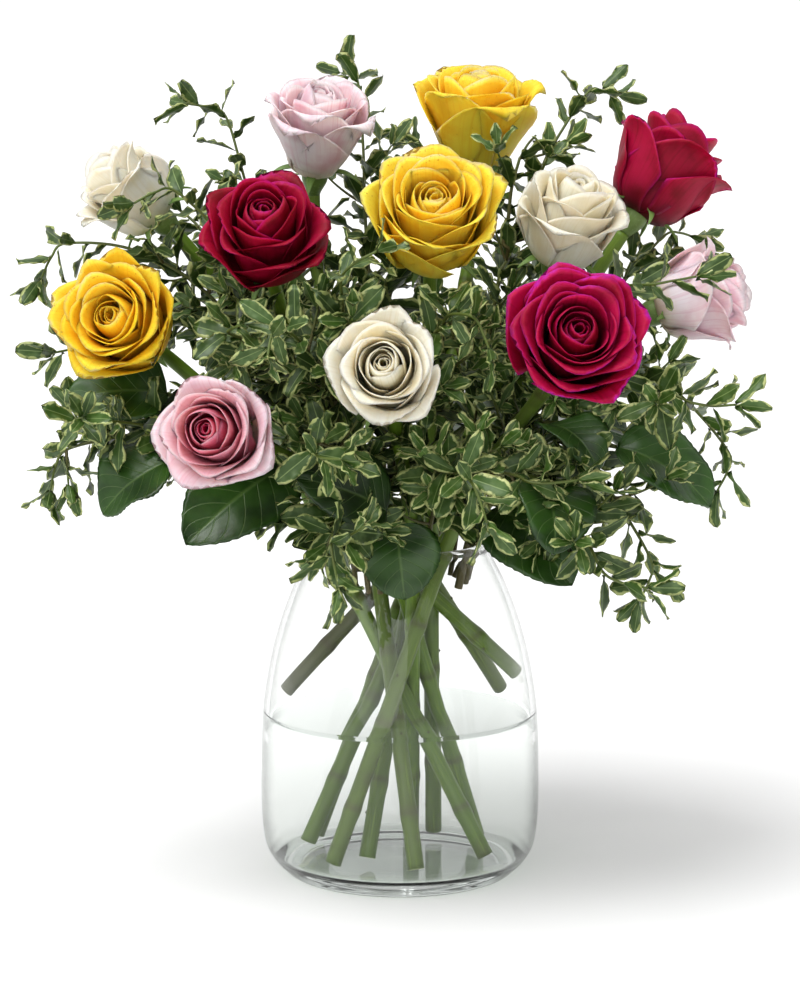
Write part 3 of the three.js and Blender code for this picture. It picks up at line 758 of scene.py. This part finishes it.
# Each row is one whorl: petals, nearest and furthest rim as shares of the bloom's radius,
# their heights as shares of its own, the curl of the rim and the lean outwards in degrees.
BUD = [(12, 0.07, 0.34, 0.92, 1.0, -38, 2), (5, 0.39, 0.52, 0.99, 0.95, 10, 0)]
HALF_OPEN = [*BUD, (5, 0.62, 0.74, 0.9, 0.82, 70, 6), (6, 0.88, 1.0, 0.74, 0.66, 92, 14)]
FLARED = [*BUD, (5, 0.62, 0.74, 0.92, 0.9, 60, 20), (6, 0.88, 1.0, 0.88, 0.8, 75, 46)]
CUPPED = [
    (10, 0.08, 0.32, 0.76, 0.86, -30, 2),
    (6, 0.38, 0.5, 0.88, 0.9, 15, 0),
    (6, 0.56, 0.7, 0.9, 0.88, 55, 5),
    (6, 0.76, 0.88, 0.86, 0.8, 65, 8),
    (6, 0.92, 1.0, 0.76, 0.68, 75, 10),
]
for name, habit in (("half-open", HALF_OPEN), ("flared", FLARED), ("cupped", CUPPED)):
    print(f"a {name} rose has {sum(row[0] for row in habit)} petals")

# %% [markdown]
# ## Blooms
#
# Twelve roses, no two alike: each has its own stage of opening, its own shade within its
# colour, and its own strength of colour in the heart. Every bloom is one mesh of closed
# petals, about half a millimetre thick.

# %% Grow the blooms
# name: stage, shade of the petals 0 to 1, strength of the heart's colour and its painted bounce
# shade
BLOOMS = {
    "white_rose_1": (HALF_OPEN, 0.35, 0.4),
    "white_rose_2": (HALF_OPEN, 0.65, 0.5),
    "white_rose_3": (HALF_OPEN, 0.45, 0.8),
    "pink_rose_1": (FLARED, 0.08, 0.2),
    "pink_rose_2": (HALF_OPEN, 0.3, 0.1),
    "pink_rose_3": (HALF_OPEN, 0.3, 1.5),
    "yellow_rose_1": (FLARED, 0.45, 0.4),
    "yellow_rose_2": (CUPPED, 0.3, 0.6),
    "yellow_rose_3": (CUPPED, 0.7, 0.6),
    "red_rose_1": (HALF_OPEN, 0.8, 0.4),
    "red_rose_2": (HALF_OPEN, 0.95, 0.5),
    "red_rose_3": (CUPPED, 0.2, 0.4),
}

PETAL_THICKNESS = 0.5 * MM
for number, (rose, (habit, shade, heart)) in enumerate(BLOOMS.items()):
    chance = np.random.default_rng(100 + number)
    head = HEADS[rose]
    petals = Heap()
    turn = chance.uniform(0, 2 * math.pi)
    for count, nearest, furthest, high, low, curl, lean in habit:
        for share in np.linspace(0, 1, count):
            t = nearest + (furthest - nearest) * share
            top = high + (low - high) * share
            sheet, place, across = petal_sheet(t, top, curl, lean, head, chance)
            turn += GOLDEN_ANGLE + chance.normal(0, 0.15)
            c, s = math.cos(turn), math.sin(turn)
            far, aside, z = sheet[..., 0], sheet[..., 1], sheet[..., 2]
            local = np.stack([far * c - aside * s, far * s + aside * c, z], axis=2)
            grid = head["base"] + local @ head["axes"]
            # Deeper towards the middle: the heart's own colour, with painted bounce shade between
            # the inner petals.
            heart_and_bounce_shade = heart * (1 - t) ** 1.1 * (1 - 0.35 * place**3)
            tone = np.clip(shade + chance.normal(0, 0.1), 0, 1)
            across = across + 0 * place
            thin_body(petals, grid, PETAL_THICKNESS, place, across, tone=tone, heart=heart_and_bounce_shade)
    colour = rose.split("_")[0]
    petals.become(f"{rose}_petals", [PETALS[colour]], f"{rose}_bloom")
print(len(BLOOMS), "blooms grown")

# %% [markdown]
# ## The calyx
#
# Under the petals sits the hip, a small green urn, with five narrow sepals. They wrapped the
# bud once, and have folded back and curled at their tips. The urn is a tube along the bloom's
# axis that swells. A sepal is made like a petal's rib: its tilt is added up from its foot.

# %% Make the calyxes
def sepal(heap, shoulder, out, up, chance):
    """A narrow sheet that leaves the hip's shoulder and curls down to its tip."""
    v, u = leaf_grid(15, 5)
    step = chance.uniform(18, 24) * MM / len(v)
    tilt = math.radians(50) + math.radians(chance.uniform(75, 115)) * v**0.8
    far = 5.6 * MM + np.cumsum(np.sin(tilt), axis=0) * step
    rise = np.cumsum(np.cos(tilt), axis=0) * step + 0.9 * MM * u**2
    half = 2.5 * MM * (1 - v) ** 0.7 * (0.75 + 0.5 * np.sin(math.pi * v)) + 0.15 * MM
    grid = shoulder + far[..., None] * out + rise[..., None] * up
    thin_body(heap, grid + (u * half)[..., None] * np.cross(up, out), 0.7 * MM, v, u)


for number, rose in enumerate(ROSES):
    chance = np.random.default_rng(200 + number)
    head, top = HEADS[rose], LINES[rose][-1]
    up = head["axes"][2]
    tall = float((head["base"] - top) @ up) + 2.5 * MM
    shares = np.linspace(0, 1, 14)
    urn = 3.6 * MM + 3.3 * MM * np.sin(np.clip(shares * 1.25, 0, 1) * math.pi * 0.55) ** 1.5
    calyx = Heap()
    tube(calyx, top + np.outer(shares * tall - 0.6 * MM, up), urn, sides=20, tone=0.1)
    for turn in np.linspace(0, 2 * math.pi, 5, endpoint=False) + chance.normal(0, 0.1, 5):
        sepal(calyx, top + (tall - 2.2 * MM) * up, outward(up, turn), up, chance)
    calyx.become(f"{rose}_hip_and_sepals", [SEPAL], f"{rose}_calyx")
print(len(ROSES), "calyxes made")

# %% [markdown]
# ## The stems
#
# A rose stem swells a little at every old leaf scar and carries a few curved prickles, which
# sit in the skin and snap off. Florists strip the lower ones, which leaves small stubs, and
# cut the foot on a slant, which shows the pale pith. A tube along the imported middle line
# makes the stem, and a short tapering tube each prickle. Some stems are held high, with the
# cut end against the glass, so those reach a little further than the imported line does.

# %% Make the stems
PITH = stem_material("cut_pith", "#c9cf9a", "#b9c088", "#8f8a58", "#dcdcae")
HELD_HIGH = 50 * MM  # a cut end above this rests against the glass
STRIPPED = 170 * MM  # below this a florist takes the prickles off


def prickle(heap, foot, heading, chance):
    """A curved prickle, or lower down, where they were stripped, the stub of one."""
    out = outward(heading, chance.uniform(0, 2 * math.pi))
    whole = foot[2] > STRIPPED
    length = chance.uniform(3.5, 5.5) * MM if whole else chance.uniform(0.8, 1.4) * MM
    bend = np.linspace(0, 1, 6)[:, None]
    spine = foot + out * (3.2 * MM + length * bend) - heading * length * 0.5 * bend**2
    width = np.linspace(1, 0.06, 6) ** (1 if whole else 0.5) * (1.5 if whole else 1.2) * MM
    tube(heap, spine, width, sides=7, tone=0.8)


for number, rose in enumerate(ROSES):
    chance = np.random.default_rng(250 + number)
    line = LINES[rose]
    if line[0][2] > HELD_HIGH:
        line = np.vstack([line[0] - 3.5 * MM * headings(line)[0], line])
    gone = np.arange(len(line)) * STEM_STEP
    swell, scars = np.zeros(len(line)), np.zeros(len(line))
    # Old leaf scars stand 32 to 55 mm apart, none close under the flower.
    scar_at = chance.uniform(20, 45) * MM
    while scar_at < gone[-1] - 15 * MM:
        swell += np.exp(-(((gone - scar_at) / (4 * MM)) ** 2))
        scars += np.exp(-(((gone - scar_at - 2 * MM) / (1.8 * MM)) ** 2))
        scar_at += chance.uniform(32, 55) * MM
    radii = (4.1 * MM - 0.7 * MM * gone / gone[-1]) * (1 + 0.13 * swell)
    scars = 0.6 * np.clip(scars, 0, 1)
    woody = float(chance.choice([0.0, 0.15, 0.35, 0.9], p=[0.35, 0.3, 0.2, 0.15]))
    stem = Heap()
    tube(stem, line, radii, sides=14, foot_slot=1, tone=scars, heart=woody)
    toward = headings(line)
    for place in range(int(chance.integers(6, 12)), len(line) - 8, 17):
        prickle(stem, line[place], toward[place], chance)
    stem.become(f"{rose}_green_stem", [ROSE_BARK, PITH], f"{rose}_stem")
print(len(ROSES), "stems made")

# %% [markdown]
# ## Leaves that know where the flowers are
#
# Foliage fills the space between the blooms, and a leaf must not cut through a petal or the
# jar, nor hide a flower's face, which a florist keeps free. Each bloom is roughly a bowl with
# that free space in front of it, so a point is in the way if it is nearer the axis than the
# bowl's wall.

# %% Keep leaves out of flowers and glass
BOWL_LEVELS = [-0.15, 0, 0.25, 0.55, 1.0, 2.2]  # as shares of the bloom's height
BOWL_RADII = [0, 0.35, 0.85, 1.0, 0.85, 0.7]  # as shares of its radius
JAR_LEVELS = [0, VASE_TOP - 4 * MM, VASE_TOP + 4 * MM]
JAR_ROOM = [120 * MM, 95 * MM, 0]  # nothing small hangs close in front of the jar either


def is_free(points, gap=1.5 * MM):
    """Whether these points are clear of every bloom and of the jar."""
    points = np.atleast_2d(points)
    for head in HEADS.values():
        local = (points - head["base"]) @ head["axes"].T
        share = local[:, 2] / head["height"]
        bowl = head["radius"] * np.interp(share, BOWL_LEVELS, BOWL_RADII)
        within = (share > BOWL_LEVELS[0]) & (share < BOWL_LEVELS[-1])
        if np.any(within & (np.hypot(local[:, 0], local[:, 1]) < bowl + gap)):
            return False
    room = np.interp(points[:, 2], JAR_LEVELS, JAR_ROOM)
    return not np.any(np.hypot(*points[:, :2].T) < room)


print("the middle of the jar's mouth is free:", is_free([0, 0, VASE_TOP + 5 * MM]))

# %% [markdown]
# ## Salal
#
# Salal, sold as lemon leaf, has broad pointed leaves on a woody zigzag stem. In the packed
# model a leaf is a fat spindle of four-cornered rings. Its tip is the place furthest from
# the root over the facets. Going back from the tip ring by ring gives the midrib, and the
# longer way across each ring gives the leaf's breadth and the way it faces.


# %% Grow the salal branches
def root_of(points):
    """The corner where a branch is held in the jar's neck."""
    inner = (np.hypot(points[:, 0], points[:, 1]) < 42 * MM) & (points[:, 2] < 156 * MM)
    return int(np.where(inner, points[:, 2], np.inf).argmin())


def far_ends(points, near, far):
    """Corners further from the root than all that are within two edges of them."""
    ends = []
    for here in range(len(points)):
        around = {b for a in near[here] for b in near[a]} | near[here]
        if all(far[here] >= far[there] for there in around):
            ends.append(here)
    return ends


def spindle(points, near, tip):
    """A packed leaf's middles from tip to base, and its breadth vector at each."""
    middles, breadths = [points[tip]], [np.zeros(3)]
    for ring in rings_from(points, near, [tip])[1:]:
        if len(ring) != 4 or len(middles) == 6:
            break
        places = points[ring]
        gaps = places[:, None] - places[None, :]
        a, b = np.unravel_index(np.linalg.norm(gaps, axis=2).argmax(), (4, 4))
        middles.append(places.mean(axis=0))
        across = places[b] - places[a]
        if np.linalg.norm(breadths[-1]) and across @ breadths[-1] < 0:
            across = -across
        breadths.append(across / 2)
    return np.array(middles), np.array(breadths)


def salal_leaf(heap, rib, side, breadth, chance):
    """A broad pointed leaf along a smooth midrib from base to tip, with its stalk."""
    toward = headings(rib)
    facing = np.cross(toward[len(rib) // 2], side)
    outward = unit(rib.mean(axis=0) * [1, 1, 0]) + UP
    if facing @ outward < 0:
        side = -side
    v, u = leaf_grid(41, 15)
    share = 0.1 + 0.9 * v[:, 0]
    steps = np.linspace(0, 1, len(rib))
    spine = np.column_stack([np.interp(share, steps, rib[:, axis]) for axis in range(3)])
    ahead = np.column_stack([np.interp(share, steps, toward[:, axis]) for axis in range(3)])
    across = side - ahead * (ahead @ side)[:, None]
    across /= np.linalg.norm(across, axis=1)[:, None]
    face = np.cross(ahead, across)
    half = breadth * 2.3 * v**0.5 * (1 - v) ** 0.75 + 0.2 * MM
    teeth = 0.35 * MM * np.abs(u) ** 8 * np.sin(v * 95)
    level = v - VEIN_SWEEP * np.abs(u)
    quilt = 0.5 * MM * np.abs(np.sin(VEIN_PAIRS * math.pi * level)) * np.sin(math.pi * np.abs(u))
    waves = chance.uniform(0, 2 * math.pi, 2)
    edge = (1.6 * np.sin(7 * v + waves[0]) + 0.9 * np.sin(15 * v + waves[1])) * MM * u**2
    trough = 0.28 * half * np.abs(u) ** 1.3
    height = quilt + edge + trough - chance.uniform(1, 6) * MM * v**3
    grid = spine[:, None] + (u * half + teeth * np.sign(u))[..., None] * across[:, None]
    grid = grid + height[..., None] * face[:, None]
    tone = np.clip(chance.normal(0.45, 0.25), 0, 1)
    thin_body(heap, grid, 0.6 * MM, v, u, tone=tone)
    stalk = rib[: max(4, len(rib) // 8)]
    tube(heap, stalk, np.linspace(1.5, 1.0, len(stalk)) * MM, sides=8, slot=1, tone=0.2)


SALAL_NODES = [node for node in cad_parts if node.startswith("salal")]
for number, node in enumerate(SALAL_NODES):
    chance = np.random.default_rng(300 + number)
    points, near = corners(node)
    far, before = ways(points, near, [root_of(points)])
    branch = Heap()
    for tip in far_ends(points, near, far):
        middles, breadths = spindle(points, near, tip)
        way = traced(before, tip)
        joint = len(way) - len(middles) - 1
        widest = np.linalg.norm(breadths, axis=1).argmax()
        side, breadth = unit(breadths[widest]), np.linalg.norm(breadths[widest])
        midrib = smooth_line([points[way[joint]], *middles[::-1]], 1.5 * MM)
        if midrib[-1][2] < VASE_TOP - 15 * MM:
            # The leaf that hangs over the jar's lip is a short one, so the stems show.
            midrib = midrib[: int(0.76 * len(midrib))]
        salal_leaf(branch, midrib, side, 1.2 * breadth, chance)
        if joint > 1:
            wood = smooth_line(points[way[: joint + 1]], 2 * MM)
            tube(branch, wood, np.linspace(2.1, 1.5, len(wood)) * MM, sides=9, slot=1, tone=0.15)
    branch.become(f"{node}_leaves_and_wood", [SALAL, TWIG_BARK], node)
print(len(SALAL_NODES), "salal branches grown")

# %% [markdown]
# ## Pittosporum
#
# This is the filler: forked twigs thick with small wavy leaves, each branch carrying well
# over a hundred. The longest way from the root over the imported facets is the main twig, and
# the longest way that leaves it is the fork. Along both, leaves stand a golden angle apart
# and get smaller to the tip, where they crowd into a rosette. Short side shoots bear more.


# %% Grow the pittosporum branches
TWIG_STEP = 2 * MM
LEAF_GAP, LEAF_LENGTH = 5.4 * MM, 28 * MM  # on a twig
SHOOT_GAP, SHOOT_LEAF_LENGTH = 5.5 * MM, 24 * MM
SHOOT_EVERY = 7  # steps of a twig


def small_leaf(heap, base, ahead, face, length, chance, tone):
    """A wavy spoon-shaped leaf that starts at its stalk and faces a direction."""
    across = sideways(ahead, face)
    face = np.cross(across, ahead)
    v, u = leaf_grid(9, 7)
    half = 1.95 * length * chance.uniform(0.2, 0.27) * v**0.75 * (1.02 - v) ** 0.5 + 0.15 * MM
    droop = chance.uniform(-0.15, 0.45)
    waves = chance.uniform(0, 2 * math.pi, 2)
    wave = (0.05 * np.sin(9 * v + waves[0]) + 0.04 * np.sin(14 * v + waves[1])) * length * u**2
    height = 0.25 * half * np.abs(u) + wave * np.sign(u) - droop * length * v**2 * 0.5
    grid = base + (v * length)[..., None] * ahead + (u * half)[..., None] * across
    grid = grid + height[..., None] * face
    if is_free(grid[[4, 8, 6, 6], [3, 3, 0, 6]]):
        thin_body(heap, grid, 0.35 * MM, v, u, tone=tone)


def leafy(heap, line, first, gap, longest, chance, shade):
    """Clothes a twig with leaves from a share of its length to its tip."""
    toward = headings(line)
    count = max(2, int((1 - first) * len(line) * TWIG_STEP / gap))
    spin = chance.uniform(0, 2 * math.pi)
    for i in range(count + 4):
        share = min(1.0, first + (1 - first) * i / count)
        here = int(share * (len(line) - 1))
        heading = toward[here]
        out = outward(heading, spin + i * GOLDEN_ANGLE)
        angle = math.radians(chance.uniform(48, 72) - 25 * (share == 1))
        ahead = math.cos(angle) * heading + math.sin(angle) * out
        face = unit(heading * math.sin(angle) - out * math.cos(angle) + 0.4 * UP)
        length = longest * (1 - 0.35 * share**2) * chance.uniform(0.8, 1.12)
        tone = float(np.clip(shade + 0.35 * share + chance.normal(0, 0.12) - 0.15, 0, 1))
        small_leaf(heap, line[here] + out * 0.8 * MM, ahead, face, length, chance, tone)


def side_shoot(heap, foot, heading, turn, chance, shade):
    """A short leafy shoot that leaves a twig at its foot, where there is room for it."""
    reach = chance.uniform(16, 28) * MM
    lift = np.linspace(0, 1, 5)[:, None]
    way = unit(0.5 * heading + outward(heading, turn))
    shoot = foot + reach * lift * (way + 0.25 * UP * lift)
    if is_free(shoot[2:], 4 * MM):
        shoot = smooth_line(shoot, TWIG_STEP)
        tube(heap, shoot, np.linspace(0.9, 0.5, len(shoot)) * MM, sides=6, slot=1)
        leafy(heap, shoot, 0.15, SHOOT_GAP, SHOOT_LEAF_LENGTH, chance, shade)


PITTOSPORUM_NODES = [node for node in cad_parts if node.startswith("pittosporum")]
for number, node in enumerate(PITTOSPORUM_NODES):
    chance = np.random.default_rng(400 + number)
    points, near = corners(node)
    branch = Heap()
    starts, shade = [root_of(points)], chance.uniform(0.25, 0.55)
    for first, thick in ((0.22, 1.5 * MM), (0.1, 1.2 * MM)):
        far, before = ways(points, near, starts)
        way = traced(before, int(far.argmax()))
        starts = list(set(starts) | set(way))
        line = smooth_line(points[way], TWIG_STEP)
        tube(branch, line, np.linspace(thick, 0.6 * MM, len(line)), sides=8, slot=1, tone=0.1)
        leafy(branch, line, first, LEAF_GAP, LEAF_LENGTH, chance, shade)
        toward = headings(line)
        bushy = range(int(first * len(line)) + 3, int(0.75 * len(line)), SHOOT_EVERY)
        for i, here in enumerate(bushy):
            turn = i * 2.4 + chance.uniform(0, 1)
            side_shoot(branch, line[here], toward[here], turn, chance, shade + 0.1)
    materials = [PITTOSPORUM, TWIG_BARK]
    branch.become(f"{node}_leaves_and_twigs", materials, node)
    print(node, branch.size, "corners")

# %% [markdown]
# ## Floor and light
#
# The arrangement stands on a seamless sheet of white paper under large soft lamps, the main
# one high on the left and a weaker one in front. The paper is a very wide plane, so that its
# far edge meets a sky as white as itself. The lamps are suns with wide discs, which blur the
# edge of the shadow as a soft box does. The sky is darker a little above the horizon, which
# gives the glass something to mirror, and bright overhead, which fills the shadows.

# %% Floor and light
floor_mesh = bpy.data.meshes.new("studio_floor")
FAR = 30  # metres from the jar to the paper's edges
edges = [(-FAR, -FAR, 0), (FAR, -FAR, 0), (FAR, FAR, 0), (-FAR, FAR, 0)]
floor_mesh.from_pydata(edges, [], [(0, 1, 2, 3)])
floor = bpy.data.objects.new("studio_floor", floor_mesh)
bpy.context.scene.collection.objects.link(floor)
paper, tree, out = new_material("white_paper")
tree.links.new(add(tree, "BsdfDiffuse", {"Color": linear("#eaeaea")}), out)
floor.data.materials.append(paper)

world = bpy.data.worlds.new("studio")
bpy.context.scene.world = world
world.use_nodes = True
tree = world.node_tree
tree.nodes.clear()
sky_out = tree.nodes.new("ShaderNodeOutputWorld")
aim = add(tree, "SeparateXYZ", {0: add(tree, "TexCoord", out="Generated")}).node.outputs
dip = add(tree, "MapRange", {0: aim["Z"], 1: 0.04, 2: 0.3, 3: 1.05, 4: 0.5}, **EASED)
rise = add(tree, "MapRange", {0: aim["Z"], 1: 0.25, 2: 0.8, 4: 0.5}, **EASED)
glow = add(tree, "Math", {0: dip, 1: rise}, operation="ADD")
front = add(tree, "MapRange", {0: aim["Y"], 1: -0.9, 2: 0.1, 3: 0.8, 4: 1.0}, **EASED)
glow = add(tree, "Math", {0: glow, 1: front}, operation="MULTIPLY")
background = add(tree, "Background", {"Strength": glow, "Color": (1, 1, 1, 1)})
tree.links.new(background, sky_out.inputs[0])


def soft_lamp(name, energy, disc, source):
    """A sun whose light comes from this direction, and whose disc is so many degrees wide."""
    lamp = bpy.data.objects.new(name, bpy.data.lights.new(name, "SUN"))
    bpy.context.scene.collection.objects.link(lamp)
    lamp.data.energy, lamp.data.angle = energy, math.radians(disc)
    lamp.rotation_euler = Vector(source).to_track_quat("Z", "Y").to_euler()
    return lamp


key = soft_lamp("key_light", 2.2, 36, (-0.5, -0.45, 1.5))
fill = soft_lamp("fill_light", 0.7, 50, (-0.35, -1.0, 0.45))
bpy.context.scene.view_settings.view_transform = "Standard"
print("lamps:", key.name, fill.name)
